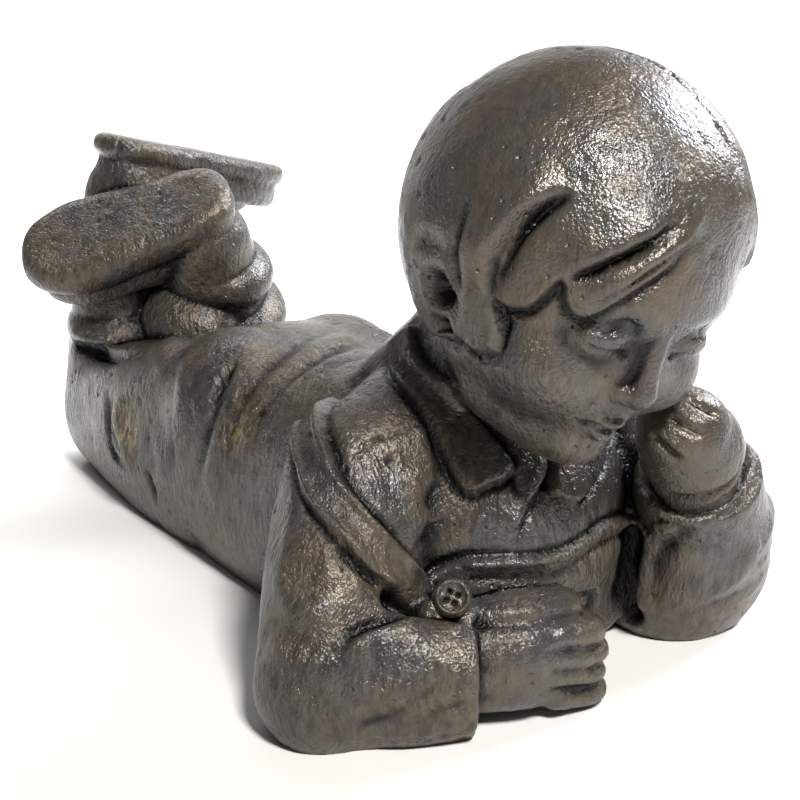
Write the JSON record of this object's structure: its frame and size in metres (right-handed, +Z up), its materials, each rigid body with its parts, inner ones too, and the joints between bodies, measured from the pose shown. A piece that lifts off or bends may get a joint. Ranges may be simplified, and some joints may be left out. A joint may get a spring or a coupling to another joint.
{
  "type": "boy statue",
  "caption": "Cast garden statue of a boy in dungarees lying on his front, propped on his elbows, one fist under his cheek and his feet crossed in the air.",
  "frame": {"origin": "on the ground, under the middle of the statue's box", "axes": "-Y towards the head, +Y towards the knees, +X towards the boy's own left, +Z up; the flat underside lies on z = 0"},
  "size_m": [0.324, 0.6, 0.3228],
  "materials": {
    "painted_cast_stone": null
  },
  "bodies": {
    "root": {"boy_statue": "painted_cast_stone"}
  },
  "joints": []
}
